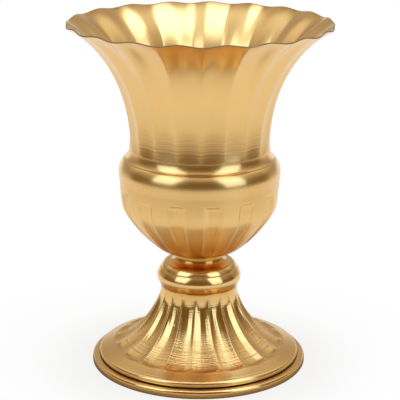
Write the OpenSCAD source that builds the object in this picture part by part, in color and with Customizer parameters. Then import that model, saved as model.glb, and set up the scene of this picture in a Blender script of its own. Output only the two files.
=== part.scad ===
// Urn vase of gold-finished sheet iron: a fluted flare and a fluted bowl stand on a hollow
// two-part knob, a fluted foot skirt and a rolled base ring, and one bolt ties the bowl,
// the knob and the foot together. The origin is on the axis at the table, with +Z up.

/* [Sheet] */
// Thickness of the iron sheet of every shell
sheet_t = 1; // [0.7:0.1:1.2]

/* [Flare] */
// Height of the flare above its seat on the bowl, up to the ridges at the rim
flare_h = 95; // [84:0.5:112]
// Radius of the rim over the ridges between its flutes
rim_r = 94.4; // [84:0.2:104]
// Radius of the throat, the narrowest place of the flare
throat_r = 50.4; // [48:0.1:52]
// Thickness of the flare's edge where it lies on the bowl
seam_edge_t = 0.4; // [0.2:0.1:0.6]
// Height of the flare's collar, which plugs into the mouth of the bowl
collar_h = 4; // [2:0.5:8]
// Gap between the collar and the mouth of the bowl
collar_gap = 0.1; // [0.1:0.05:0.3]
// Depth of the flutes of the flare
flare_flute_d = 1.9; // [0.8:0.1:2.6]
// Number of flutes round the flare
flare_flutes = 19; // [14:1:24]

/* [Bowl] */
// Height of the bowl between the knob and the flare
bowl_h = 68; // [62:1:78]
// Radius of the seam where the flare lies on the bowl
seam_r = 53.7; // [53.4:0.1:55]
// Greatest radius of the bowl, at its shoulder
shoulder_r = 57.9; // [57.5:0.1:59]
// Radius of the round of the shoulder, seen in section
shoulder_round_r = 12; // [10:0.5:14]
// Radius of the upright wall under the shoulder
bowl_wall_r = 57; // [56:0.1:57.3]
// Height of the upright wall's top above the bowl's seat
bowl_wall_h = 51; // [48:0.5:52]
// Radius of the bowl where its wall turns in to the floor
belly_r = 54; // [51:0.5:56]
// Height of that turn above the bowl's seat
belly_h = 29.5; // [25:0.5:34]
// Radius of the flat floor of the bowl
bowl_floor_r = 25; // [20:0.5:28]
// Depth of the flutes of the bowl
bowl_flute_d = 1.7; // [0.8:0.1:2]
// Number of flutes round the bowl
bowl_flutes = 14; // [10:1:18]

/* [Knob] */
// Height of the upper knob shell, neck included
upper_knob_h = 14; // [12:0.5:18]
// Height of the rounded part of the upper knob shell
bun_h = 4.4; // [3.5:0.1:5.5]
// Radius where the top of the rounded part starts to fall
bun_flat_r = 23.5; // [23:0.5:25]
// Radius of the neck under the bowl
neck_r = 17; // [15:0.5:17.5]
// Radius of the hollow in which the neck runs out onto the knob
neck_fillet_r = 5; // [3:0.5:5]
// Radius of the engraved line where the knob shells meet
knob_seam_r = 28; // [26.5:0.1:29]
// Size of the bevel on each lip of the engraved line
knob_bevel = 0.3; // [0.2:0.05:0.4]
// Height of the lower knob shell
lower_knob_h = 13; // [11:0.5:17]
// Greatest radius of the lower knob shell
lower_knob_r = 30.5; // [29.6:0.1:33]

/* [Foot] */
// Height of the foot skirt above the base ring
foot_h = 52.8; // [47:0.1:60]
// Radius of the foot's crown under the knob
crown_r = 27.8; // [26:0.1:28]
// Height of the plain band at the top of the foot
crown_band_h = 3.6; // [2.5:0.1:5]
// Radius where the fluted flank of the foot ends and the plain brim starts
flank_r = 62.5; // [60:0.1:64]
// Height above the base ring where the fluted flank ends
flank_end_h = 8.4; // [7.6:0.1:9.4]
// Outer radius of the foot's rolled edge
foot_r = 73.5; // [72:0.1:75]
// Radius of the round on top of the rolled edge
foot_roll_r = 3.2; // [2.6:0.1:3.8]
// Radius of the curl under the rolled edge
foot_curl_r = 1.3; // [1.3:0.1:1.8]
// Width of the flat on which the foot stands
foot_tread_w = 1.5; // [1:0.1:2.5]
// Depth of the flutes of the foot
foot_flute_d = 2; // [0.8:0.1:2.4]
// Number of flutes round the foot
foot_flutes = 19; // [14:1:24]

/* [Base ring] */
// Height of the base ring
ring_h = 6.2; // [5.6:0.1:8]
// Outer radius of the base ring
ring_r = 78.1; // [77:0.1:84]
// Radius of the opening in the base ring
ring_bore_r = 62; // [56:0.5:66]
// Radius of the curl under the base ring's edge
ring_curl_r = 1.9; // [1.5:0.1:2.4]
// Width of the flat on which the vase stands
ring_tread_w = 2.2; // [1.5:0.1:3.5]

/* [Tie bolt] */
// Diameter of the bolt that ties the vase together
bolt_d = 6; // [5:0.5:7]
// Gap between the bolt and the hole of each piece that it passes
bolt_gap = 0.3; // [0.15:0.05:0.5]
// Bevel on the end of the bolt
bolt_bevel = 0.4; // [0.2:0.1:0.8]
// Height of the bolt head
bolt_head_h = 4; // [3:0.5:6]
// Width across the flats of the head and the nut
hex_w = 10; // [9:0.5:13]
// Height of the nut
nut_h = 5; // [4:0.5:7]
// Gap between the bolt and the bore of the nut
nut_gap = 0.05; // [0.02:0.01:0.1]
// Length of bolt below the nut
bolt_end_h = 4; // [2:0.5:8]
// Outer radius of the flat washers
washer_r = 9; // [8:0.5:12]
// Thickness of the flat washers
washer_t = 1.6; // [1:0.1:2]
// Outer radius of the rubber seal on the floor of the bowl
seal_r = 11; // [9.5:0.5:14]
// Thickness of the rubber seal
seal_t = 1.5; // [1:0.1:2.5]
// Outer radius of the spring washer
spring_r = 5.6; // [5:0.1:7]
// Thickness of the spring washer
spring_t = 1.6; // [1:0.1:2]
// Angle of the slit in the spring washer
spring_slit = 12; // [6:1:20]

/* [Hidden] */
$fn = 96;

gold = [0.80, 0.62, 0.33];
zinc = "silver";
rubber = "dimgray";

// Overrun of every cut
over = 1;
// Number of steps along a curve and round a corner of an outline
curve_n = 8;
corner_n = 3;

// Heights of the seats, from the table up
knob_seat_z = ring_h + foot_h;
knob_seam_z = knob_seat_z + lower_knob_h;
bowl_seat_z = knob_seam_z + upper_knob_h;
seam_z = bowl_seat_z + bowl_h;
rim_z = seam_z + flare_h;

// Heights of the hardware: up from the floor of the bowl, and down from the foot's crown
seal_z = bowl_seat_z + sheet_t;
bowl_washer_z = seal_z + seal_t;
head_z = bowl_washer_z + washer_t;
foot_washer_z = knob_seat_z - sheet_t - washer_t;
spring_z = foot_washer_z - spring_t;
nut_z = spring_z - nut_h;
bolt_end_z = nut_z - bolt_end_h;
bolt_hole_r = bolt_d / 2 + bolt_gap;
hex_r = hex_w / 2 / cos(30);
mouth_r = throat_r + collar_gap;

// Slope of the seam, where the round of the shoulder ends, and the round of the flare's sweep
seam_tilt = acos((seam_r - shoulder_r + shoulder_round_r) / shoulder_round_r);
shoulder_z = seam_z - shoulder_round_r * sin(seam_tilt);
sweep_r = (seam_r - throat_r) / (1 - cos(seam_tilt));
throat_z = seam_z + sweep_r * sin(seam_tilt);

// Azimuth of the middle of one flute on the flare, on the bowl and on the foot
flare_turn = -79.5;
bowl_turn = -80.3;
foot_turn = -85.5;
// How far the flare's flutes are crowded towards one side by hand spacing, in degrees
flare_drift = 2.75;

// Half the width of a flute as a share of its pitch: half the pitch where flutes meet in
// ridges, and less where they are grooves with plain lands between them
ridged_half_share = 0.5;
groove_half_share = 0.24;
// Place on a groove's wall, as a share of its half width
groove_wall_share = 0.7;
// Power of a flute's section: a groove has a flatter floor and a steeper wall
ridged_power = 2;
groove_power = 4;
// Places across the pitch, from a flute's middle, at which each shell is sampled
flare_shares = [0.13, 0.35, ridged_half_share, 0.65, 0.87];
foot_shares = [0, 0.27, ridged_half_share, 0.73];
groove_shares = [0, groove_wall_share * groove_half_share, groove_half_share, 0.5,
                 1 - groove_half_share, 1 - groove_wall_share * groove_half_share];

// Rings of the flare's wall, as shares of its curve, and the depth of the flutes at each
flare_ring_shares = [0.1, 0.26, 0.46, 0.66, 0.82, 0.93, 1];
flare_depth_shares = [0.22, 0.56, 0.9, 1, 1, 0.95, 0.9];
flare_pull_shares = [[-0.03, 0.3], [0.2, 0.79]];
sweep_shares = [0.6, 0.3];
// Rings of the bowl's lower and upper wall, and the depth of the flutes at each
lower_ring_shares = [0.24, 0.5, 0.76, 1];
lower_depth_shares = [0, 0.8, 1, 1];
upper_ring_shares = [0.4, 0.68, 0.79, 0.85, 1];
upper_depth_shares = [1, 0.9, 0.45, 0, 0];
lower_pull_shares = [[0.23, 0], [0.84, 0.7]];
upper_pull_shares = [[1.07, 0.2], [1.4, 0.54]];
shoulder_shares = [0, 0.3, 0.65];
// Rings of the foot's flank, from the brim up, and the depth of the flutes at each
flank_ring_shares = [0, 0.07, 0.3, 0.6, 0.87, 1];
flank_depth_shares = [0, 0.8, 1, 0.95, 0.7, 0];
flank_pull_shares = [[0.62, 0.12], [0.97, 0.81]];
// Pull points of the knob shells' curves
bun_pull_shares = [[0.45, 0], [0.8, 0.55]];
belly_pull_shares = [0.46, 0.64];
// Size of the turned cone at each end of the hexagons, as a share of their flats
chamfer_share = 0.95;

// Point at share s of a curve between a and d, pulled towards b and c
function bend(a, b, c, d, s) =
    pow(1 - s, 3) * a + 3 * pow(1 - s, 2) * s * b + 3 * (1 - s) * pow(s, 2) * c + pow(s, 3) * d;
// The same between two corners, with the pull points given as shares of the span
function span_bend(a, d, pulls, s) =
    let (span = d - a)
    bend(a, a + [for (k = [0, 1]) pulls[0][k] * span[k]],
         a + [for (k = [0, 1]) pulls[1][k] * span[k]], d, s);
// Points of a round about a centre, from one angle to another
function round_points(centre, r, from, to, n) =
    [for (i = [0:n]) let (t = from + (to - from) * i / n) centre + r * [cos(t), sin(t)]];

// Directions in which the sheet is offset at the corners of an outline
up = [0, 1];
down = [0, -1];
floor_out = [0.2, -1];
corner_out = [0.5, 1];

// A ring of a shell: a point of its outline, its outward direction and its share of the
// flutes' depth
function ring(point, out, share = 0) = [point, out, share];
function round_ring(centre, r, t) = ring(centre + r * [cos(t), sin(t)], [cos(t), sin(t)]);
// Outward direction of a wall that runs upwards through two points
function outward(a, b) = [b.y - a.y, a.x - b.x] / norm(b - a);
// Rings along a curve of a wall, with the direction read off the curve itself
function curve_rings(a, d, pulls, shares, depths) =
    [for (i = [0:len(shares) - 1])
        let (s = shares[i], step = min(s, 1 - s, 1 / curve_n) + 1 / pow(curve_n, 3),
             from = span_bend(a, d, pulls, max(s - step, 0)),
             to = span_bend(a, d, pulls, min(s + step, 1)))
        ring(span_bend(a, d, pulls, s), outward(from, to), depths[i])];
// The same rings on the inner face of the sheet, in the opposite order
function inner_rings(rings) =
    [for (i = [len(rings) - 1:-1:0])
        ring(rings[i][0] - sheet_t * rings[i][1], rings[i][1], rings[i][2])];

// How deeply a flute is pressed at a share of its half width, for a ring's share of its
// depth. An arched flute grows narrower as well as shallower towards its rounded ends.
function pressed(across, share, arched, power) =
    arched ? max(0, share - pow(across, power)) : share * (1 - pow(across, power));

// Fluted shell swept round the axis through a list of rings. The list runs up the outer
// face and down the inner one. A looped list closes on itself, and another gets flat ends.
module fluted_shell(rings, count, shares, half_share, depth, arched, power, turn, looped,
                    drift = 0) {
    m = len(shares);
    steps = count * m;
    levels = len(rings);
    points = [for (g = rings) for (i = [0:steps - 1])
        let (share = shares[i % m], even = turn + 360 * (floor(i / m) + share) / count,
             a = even - drift * (1 + sin(even)),
             across = min(share, 1 - share) / half_share,
             p = g[0] - depth * pressed(across, g[2], arched, power) * g[1])
        [p.x * cos(a), p.x * sin(a), p.y]];
    bands = [for (j = [0:levels - (looped ? 1 : 2)]) for (i = [0:steps - 1])
        let (k = (i + 1) % steps, low = j * steps, high = ((j + 1) % levels) * steps)
        each [[low + i, high + i, high + k], [low + i, high + k, low + k]]];
    ends = looped ? [] : [[for (i = [0:steps - 1]) i],
                          [for (i = [steps - 1:-1:0]) (levels - 1) * steps + i]];
    polyhedron(points, concat(bands, ends));
}

// Solid turned about the axis from an outline
module turned(outline) {
    rotate_extrude() polygon(outline);
}

module bolt_hole(z) {
    translate([0, 0, z - over]) cylinder(r = bolt_hole_r, h = sheet_t + 2 * over);
}

// Flat washer about the bolt, standing at a height
module washer(z, r, t) {
    translate([0, 0, z])
        difference() {
            cylinder(r = r, h = t);
            translate([0, 0, -over]) cylinder(r = bolt_hole_r, h = t + 2 * over);
        }
}

// Hexagon block with its corners turned off at both ends
module hex_block(h) {
    flat = chamfer_share * hex_w / 2;
    wide = hex_r + over;
    drop = (wide - flat) * tan(30);
    intersection() {
        cylinder(r = hex_r, h = h, $fn = 6);
        turned([[0, 0], [flat, 0], [wide, drop], [wide, h - drop], [flat, h], [0, h]]);
    }
}

// The flare's wall from the throat up to the rim, and its foot from the collar up to there
function flare_wall() =
    concat([ring([throat_r, throat_z], [1, 0])],
           curve_rings([throat_r, throat_z], [rim_r, rim_z], flare_pull_shares,
                       flare_ring_shares, flare_depth_shares));
function flare_foot() =
    let (centre = [throat_r + sweep_r, throat_z],
         edge_tilt = asin((throat_z - seam_z - seam_edge_t) / sweep_r))
    concat([ring([throat_r, seam_z - collar_h], down), ring([throat_r, seam_z], down),
            ring([seam_r, seam_z], down)],
           [for (share = concat([1], sweep_shares))
               ring(centre - sweep_r * [cos(share * edge_tilt), sin(share * edge_tilt)], up)]);

module fluted_flare() {
    wall = flare_wall();
    bottom = ring([throat_r - sheet_t, seam_z - collar_h], down);
    color(gold)
        fluted_shell(concat(flare_foot(), wall, inner_rings(wall), [bottom]), flare_flutes,
                     flare_shares, ridged_half_share, flare_flute_d, false, ridged_power,
                     flare_turn, true, flare_drift);
}

// Rings of the bowl's outer face, from the floor up to the mouth under the flare
function bowl_rings() =
    let (floor_edge = [bowl_floor_r, bowl_seat_z], belly = [belly_r, bowl_seat_z + belly_h],
         wall_top = [bowl_wall_r, bowl_seat_z + bowl_wall_h],
         centre = [shoulder_r - shoulder_round_r, shoulder_z])
    concat([ring(floor_edge, floor_out)],
           curve_rings(floor_edge, belly, lower_pull_shares, lower_ring_shares,
                       lower_depth_shares),
           curve_rings(belly, wall_top, upper_pull_shares, upper_ring_shares,
                       upper_depth_shares),
           [for (share = shoulder_shares) round_ring(centre, shoulder_round_r, share * seam_tilt)],
           [ring([seam_r, seam_z], corner_out), ring([mouth_r, seam_z], up)]);

module fluted_bowl() {
    outer = bowl_rings();
    color(gold)
        difference() {
            fluted_shell(concat(outer, inner_rings(outer)), bowl_flutes, groove_shares,
                         groove_half_share, bowl_flute_d, true, groove_power, bowl_turn, false);
            bolt_hole(bowl_seat_z);
        }
}

// Outline of the upper knob shell, drawn in from its outer face by an inset
function upper_knob_face(inset) =
    let (bun_z = knob_seam_z + bun_h - inset, neck = neck_r - inset,
         fillet = neck_fillet_r + inset, flat_end = [bun_flat_r - inset / 2, bun_z],
         lip = [knob_seam_r - inset, knob_seam_z + knob_bevel])
    concat([[0, bowl_seat_z - inset], [neck, bowl_seat_z - inset]],
           round_points([neck + fillet, bun_z + fillet], fillet, 180, 270, curve_n),
           [for (i = [0:curve_n]) span_bend(flat_end, lip, bun_pull_shares, i / curve_n)]);

module upper_knob_shell() {
    color(gold)
        difference() {
            turned(concat(upper_knob_face(0), [[knob_seam_r - knob_bevel, knob_seam_z],
                                               [0, knob_seam_z]]));
            turned(concat(upper_knob_face(sheet_t), [[knob_seam_r - sheet_t, knob_seam_z - over],
                                                     [0, knob_seam_z - over]]));
            bolt_hole(bowl_seat_z - sheet_t);
        }
}

// Outline of the lower knob shell, from its floor up to its lip
function lower_knob_face(inset) =
    let (edge = [knob_seam_r - inset, knob_seat_z + inset],
         lip = [knob_seam_r - inset, knob_seam_z - knob_bevel],
         pull_r = edge.x + 4 / 3 * (lower_knob_r - knob_seam_r),
         pull_z = [for (share = belly_pull_shares) edge.y + share * (lip.y - edge.y)])
    concat([[0, edge.y]],
           [for (i = [0:curve_n]) bend(edge, [pull_r, pull_z[0]], [pull_r, pull_z[1]], lip,
                                       i / curve_n)]);

module lower_knob_shell() {
    color(gold)
        difference() {
            turned(concat(lower_knob_face(0), [[knob_seam_r - knob_bevel, knob_seam_z],
                                               [0, knob_seam_z]]));
            turned(concat(lower_knob_face(sheet_t), [[knob_seam_r - sheet_t, knob_seam_z + over],
                                                     [0, knob_seam_z + over]]));
            bolt_hole(knob_seat_z);
        }
}

// Rings of the foot's outer face, from its tread up to the crown. The brim runs straight
// from the end of the flank onto the round of the rolled edge.
function foot_rings() =
    let (tread_r = foot_r - foot_curl_r, roll_z = ring_h + foot_curl_r,
         curl = [tread_r, roll_z], roll = [foot_r - foot_roll_r, roll_z],
         flank_end = [flank_r, ring_h + flank_end_h], brim = flank_end - roll,
         brim_tilt = atan2(brim.y, brim.x) - acos(foot_roll_r / norm(brim)),
         band = [crown_r, knob_seat_z - crown_band_h])
    concat([ring([tread_r - foot_tread_w, ring_h], down)],
           [for (i = [0:corner_n - 1]) round_ring(curl, foot_curl_r, 90 * (i / corner_n - 1))],
           [for (i = [0:corner_n]) round_ring(roll, foot_roll_r, brim_tilt * i / corner_n)],
           curve_rings(flank_end, band, flank_pull_shares, flank_ring_shares,
                       flank_depth_shares),
           [ring([crown_r, knob_seat_z - sheet_t / 2], [1, 0]),
            ring([crown_r - sheet_t / 2, knob_seat_z], corner_out)]);

module fluted_foot_skirt() {
    outer = foot_rings();
    color(gold)
        difference() {
            fluted_shell(concat(inner_rings(outer), outer), foot_flutes, foot_shares,
                         ridged_half_share, foot_flute_d, true, ridged_power, foot_turn, false);
            bolt_hole(knob_seat_z - sheet_t);
        }
}

module rolled_base_ring() {
    curl = [ring_r - ring_curl_r, ring_curl_r];
    roll_r = ring_h - ring_curl_r;
    roll = [ring_r - roll_r, ring_curl_r];
    tread = curl.x - ring_tread_w;
    color(gold)
        turned(concat([[ring_bore_r, ring_h]], round_points(roll, roll_r, 90, 0, curve_n),
                      round_points(curl, ring_curl_r, 0, -90, corner_n),
                      [[tread, 0], [tread, sheet_t]],
                      round_points(curl, ring_curl_r - sheet_t, -90, 0, corner_n),
                      round_points(roll, roll_r - sheet_t, 0, 90, curve_n),
                      [[ring_bore_r, ring_h - sheet_t]]));
}

module tie_bolt() {
    bolt_r = bolt_d / 2;
    color(zinc) {
        translate([0, 0, head_z]) hex_block(bolt_head_h);
        turned([[0, bolt_end_z], [bolt_r - bolt_bevel, bolt_end_z],
                [bolt_r, bolt_end_z + bolt_bevel], [bolt_r, head_z + over], [0, head_z + over]]);
    }
}

module bowl_washer() {
    color(zinc) washer(bowl_washer_z, washer_r, washer_t);
}

module rubber_seal() {
    color(rubber) washer(seal_z, seal_r, seal_t);
}

module foot_washer() {
    color(zinc) washer(foot_washer_z, washer_r, washer_t);
}

module spring_washer() {
    color(zinc)
        translate([0, 0, spring_z])
            rotate_extrude(angle = 360 - spring_slit)
                translate([bolt_hole_r, 0]) square([spring_r - bolt_hole_r, spring_t]);
}

module hex_nut() {
    color(zinc)
        translate([0, 0, nut_z])
            difference() {
                hex_block(nut_h);
                translate([0, 0, -over]) cylinder(r = bolt_d / 2 + nut_gap, h = nut_h + 2 * over);
            }
}

fluted_flare();
fluted_bowl();
upper_knob_shell();
lower_knob_shell();
fluted_foot_skirt();
rolled_base_ring();
tie_bolt();
bowl_washer();
rubber_seal();
foot_washer();
spring_washer();
hex_nut();
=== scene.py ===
"""Dresses the urn vase of gold-finished sheet iron.

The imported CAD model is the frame. Six classes build its sheet pieces again with fine flutes,
rolled edges and soft corners, and another dresses the bolt and its washers. The vase's sizes
stand in millimetres in the classes and become metres in the meshes. The studio is in metres.
"""

import logging
import math
from collections.abc import Sequence
from dataclasses import dataclass, fields
from enum import Enum

import bpy
import numpy as np
from mathutils import Matrix

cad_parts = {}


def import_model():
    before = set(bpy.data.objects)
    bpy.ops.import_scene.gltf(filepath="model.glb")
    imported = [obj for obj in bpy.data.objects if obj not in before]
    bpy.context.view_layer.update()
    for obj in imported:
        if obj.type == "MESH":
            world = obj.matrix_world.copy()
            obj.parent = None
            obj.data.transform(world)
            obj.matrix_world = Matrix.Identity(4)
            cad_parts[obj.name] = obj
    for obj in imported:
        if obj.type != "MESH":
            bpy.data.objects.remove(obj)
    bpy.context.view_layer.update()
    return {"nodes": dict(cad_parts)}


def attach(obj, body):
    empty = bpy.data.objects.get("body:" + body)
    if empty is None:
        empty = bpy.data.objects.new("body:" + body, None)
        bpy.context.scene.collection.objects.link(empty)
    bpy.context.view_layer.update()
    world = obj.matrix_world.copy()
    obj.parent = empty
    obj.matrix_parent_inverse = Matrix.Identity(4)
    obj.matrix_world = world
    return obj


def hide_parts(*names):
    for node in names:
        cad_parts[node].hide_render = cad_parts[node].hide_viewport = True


LOG = logging.getLogger("urn_vase")
# Metres in a millimetre
MM = 0.001
# Thickness of the sheet iron
SHEET = 1.0
# Radius of the bolt's hole
BOLT_HOLE = 3.3
# The one body that every piece rides on
BODY = "root"
# Cosine between the two arms of a corner, below which it isn't worth a round
NEARLY_STRAIGHT = -0.985
# Least distance in millimetres between an outline's new end and its next point
NEAREST = 0.01
# First and last angle in degrees of the points round a sheet's edge, and how many
BEAD = (22, 158, 7)
# How far past a flute's rounded end its shape is still followed, where 1 is the end
PAST_ARCH = 1.2

Point = Sequence[float]
Span = tuple[float, float]
Stops = tuple[float, ...]
Tint = tuple[float, float, float]
Socket = bpy.types.NodeSocket
# Colours of a stretch of sky by height, where 0 is the horizon and 1 is overhead
Glow = tuple[tuple[float, Tint], ...]
# Span of heights far under the table, for a zone that a piece doesn't have
NOWHERE: Span = (-60.0, -50.0)


class Slot(Enum):
    """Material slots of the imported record."""

    GOLD = "gold_iron"
    ZINC = "zinc_steel"
    RUBBER = "seal_rubber"


class Flute(Enum):
    """Ways in which a flute is pressed into the sheet."""

    SCALLOP = "panels that meet in ridges"
    GROOVE = "separate grooves with plain lands between them"


def placed(name: str, data: bpy.types.ID) -> bpy.types.Object:
    """Makes an object and puts it in the scene.

    Args:
        name: Its name.
        data: Its mesh, lamp or camera.

    Returns:
        The object.
    """
    thing = bpy.data.objects.new(name, data)
    bpy.context.scene.collection.objects.link(thing)
    return thing


# Sections of the sheet


def curve(start: Point, leave: Point, arrive: Point, end: Point, steps: int) -> np.ndarray:
    """Points along a smooth curve between two ends.

    Args:
        start: First end, as radius and height.
        leave: Point that the curve leaves towards.
        arrive: Point that it arrives from.
        end: Last end.
        steps: Number of steps along it.

    Returns:
        An array of steps + 1 points.
    """
    on = np.linspace(0.0, 1.0, steps + 1)[:, None]
    to = 1 - on
    start, leave, arrive, end = (np.asarray(point, float) for point in (start, leave, arrive, end))
    return to**3 * start + 3 * to**2 * on * leave + 3 * to * on**2 * arrive + on**3 * end


def arc(centre: Point, radius: float, start: float, end: float, steps: int) -> np.ndarray:
    """Points along a round.

    Args:
        centre: Its centre, as radius and height.
        radius: Radius of the round.
        start: First angle in degrees, from the outward level direction.
        end: Last angle in degrees.
        steps: Number of steps along it.

    Returns:
        An array of steps + 1 points.
    """
    turn = np.radians(np.linspace(start, end, steps + 1))
    return np.asarray(centre, float) + radius * np.stack([np.cos(turn), np.sin(turn)], axis=1)


def softened(points: np.ndarray, reach: float, steps: int = 5) -> np.ndarray:
    """Rounds off the corners of an outline, so that each catches a line of light.

    Args:
        points: Outline with sharp corners.
        reach: Distance from a corner at which its round starts.
        steps: Number of steps round each corner.

    Returns:
        The outline with each inner corner replaced by a short curve.
    """
    out = [points[0]]
    for before, corner, after in zip(points[:-2], points[1:-1], points[2:]):
        to, on = before - corner, after - corner
        far, near = np.linalg.norm(to), np.linalg.norm(on)
        if np.dot(to, on) / (far * near) < NEARLY_STRAIGHT:
            out.append(corner)
            continue
        start = corner + to / far * min(reach, far / 2)
        end = corner + on / near * min(reach, near / 2)
        pulls = [(point + 2 * corner) / 3 for point in (start, end)]
        out.extend(curve(start, *pulls, end, steps))
    out.append(points[-1])
    return np.array(out)


def shortened(
    points: np.ndarray, start: float = SHEET / 2, end: float = SHEET / 2
) -> np.ndarray:
    """Cuts the ends of an outline back, which leaves room for a rounded edge.

    Args:
        points: Outline.
        start: Length that its first end loses.
        end: Length that its last end loses.

    Returns:
        The shorter outline.
    """
    run = np.concatenate([[0], np.cumsum(np.linalg.norm(np.diff(points, axis=0), axis=1))])
    first, last = start, run[-1] - end
    ends = [[np.interp(at, run, column) for column in points.T] for at in (first, last)]
    kept = points[(run > first + NEAREST) & (run < last - NEAREST)]
    return np.vstack([ends[0], kept, ends[1]])


@dataclass
class Section:
    """Section of a sheet, with what each of its points needs for the flutes.

    Attributes:
        points: Radii and heights, with the outside on the right of their run.
        depth: Flute depth at each point.
        arch: How far each point lies into a flute's rounded end, where 1 is the end.
        soft: How softly the ridges are rounded at each point, from 0 to 1.
        press: Outward direction, against which each point is pressed.
        cut_edge_and_shade: 1 on cut edges, which the finish leaves dark, and in seams and crevices,
            which get painted shade, and 0 elsewhere.
    """

    points: np.ndarray
    depth: np.ndarray
    arch: np.ndarray
    soft: np.ndarray
    press: np.ndarray
    cut_edge_and_shade: np.ndarray

    @classmethod
    def face(
        cls,
        points: np.ndarray,
        depth: np.ndarray | float = 0.0,
        arch: np.ndarray | float = 0.0,
        soft: np.ndarray | float = 0.0,
        cut_edge_and_shade: np.ndarray | float = 0.0,
    ) -> "Section":
        """Makes the outer face of a sheet.

        Args:
            points: Radii and heights of the face.
            depth: Flute depth, as one value or one per point, like all that follow.
            arch: How far into a flute's rounded end.
            soft: How softly the ridges are rounded.
            cut_edge_and_shade: 1 on dark cut edges and on painted shade in seams.

        Returns:
            The face as a section.
        """
        along = np.gradient(points, axis=0)
        out = np.stack([along[:, 1], -along[:, 0]], axis=1)
        out /= np.linalg.norm(out, axis=1)[:, None]
        blank = np.zeros(len(points))
        return cls(points, blank + depth, blank + arch, blank + soft, out, blank + cut_edge_and_shade)

    @classmethod
    def joined(cls, *parts: "Section") -> "Section":
        """Returns the parts as one section, in their order."""
        names = [field.name for field in fields(cls)]
        return cls(*(np.concatenate([getattr(part, name) for part in parts]) for name in names))

    def picked(self, index: slice | Sequence[int]) -> "Section":
        """Returns the section of the points that an index picks."""
        return Section(*(getattr(self, field.name)[index] for field in fields(self)))

    def inner(self) -> "Section":
        """Makes the inner face of the sheet.

        Returns:
            The inner face, run backwards.
        """
        back = self.picked(slice(None, None, -1))
        back.points = back.points - SHEET * back.press
        back.cut_edge_and_shade = 0.0 * back.cut_edge_and_shade
        return back

    def bead(self, end: int, cut_edge_and_shade: float = 0.0) -> "Section":
        """Returns the half round of the sheet's edge at one end of the face.

        Args:
            end: -1 for the last end, 0 for the first.
            cut_edge_and_shade: 1 where the edge shows its dark cut.

        Returns:
            Points round the edge, in the run's order.
        """
        edge = self.picked([end] * BEAD[-1])
        sign = 1.0 if end else -1.0
        out = edge.press
        along = sign * np.stack([-out[:, 1], out[:, 0]], axis=1)
        turn = np.radians(np.linspace(*BEAD))[:, None]
        middle = edge.points - SHEET / 2 * out
        edge.points = middle + SHEET / 2 * (sign * np.cos(turn) * out + np.sin(turn) * along)
        edge.cut_edge_and_shade = edge.cut_edge_and_shade + cut_edge_and_shade
        return edge

    def sheet(self) -> "Section":
        """Returns the closed section of the sheet, with both of its edges rounded."""
        return Section.joined(self, self.bead(-1), self.inner(), self.bead(0))


@dataclass(frozen=True)
class FluteRow:
    """Flutes round a shell.

    Attributes:
        kind: How they are pressed.
        count: Number of flutes.
        turn: Azimuth of a ridge, or of a groove's middle, in degrees.
        half: Half width of a groove, as a share of its pitch.
        samples: Number of points across one pitch.
        lip: How softly a groove's lip is rounded, as a share of its depth.
        flat: Power of the groove's section; a higher one has a flatter floor.
        drift: How far the hand-set flutes have wandered halfway round to the back, in degrees.
        crowd: How much closer the steps lie together at the ridges, from 0 to 1.
        reach: How far from its middle a groove's section is followed, in half widths.
    """

    kind: Flute
    count: int
    turn: float
    half: float = 0.5
    samples: int = 16
    lip: float = 0.05
    flat: float = 2.0
    drift: float = 0.0
    crowd: float = 0.5
    reach: float = 1.3

    def azimuths(self) -> tuple[np.ndarray, np.ndarray]:
        """Spreads the steps round the axis.

        Returns:
            Each step's azimuth in radians and its share of the pitch.
        """
        step = np.arange(self.count * self.samples)
        share = (step % self.samples) / self.samples
        if self.kind is Flute.SCALLOP:
            share = share - self.crowd / (2 * np.pi) * np.sin(2 * np.pi * share)
        turns = (step // self.samples + share) / self.count
        azimuth = np.radians(self.turn) + 2 * np.pi * turns
        return azimuth - np.radians(self.drift) * (1 + np.sin(azimuth)), share

    def cut(self, share: np.ndarray, section: Section) -> np.ndarray:
        """Shape of the pressed flute.

        Args:
            share: Place across the pitch, one per step.
            section: Section of the sheet, one point per ring.

        Returns:
            Share of the full depth for every ring and step.
        """
        if self.kind is Flute.SCALLOP:
            soft = section.soft[:, None]
            away = 1 - np.abs(2 * share - 1)
            across = (1 - soft) * (1 - away) ** 2 + soft * (1 + np.cos(np.pi * away)) / 2
        else:
            away = np.minimum(share, 1 - share) / self.half
            across = np.minimum(away, self.reach) ** self.flat
        full = 1 - across - section.arch[:, None] ** 2
        eased = (full + np.sqrt(full**2 + self.lip**2)) / 2
        return eased - self.lip / 2 * np.clip(1 - np.abs(full), 0, 1)


# Row of the plain shells, whose flutes have no depth
PLAIN = FluteRow(Flute.GROOVE, 12, 0.0, 0.25)
# Slow waves of the hand-finished sheet: waves round the axis, turn per millimetre of height
# in radians, and start
WAVES = ((13, 0.05, 0.4), (31, -0.09, 1.9), (49, 0.13, 3.1), (67, -0.05, 5.0), (88, 0.17, 2.2))


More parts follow.
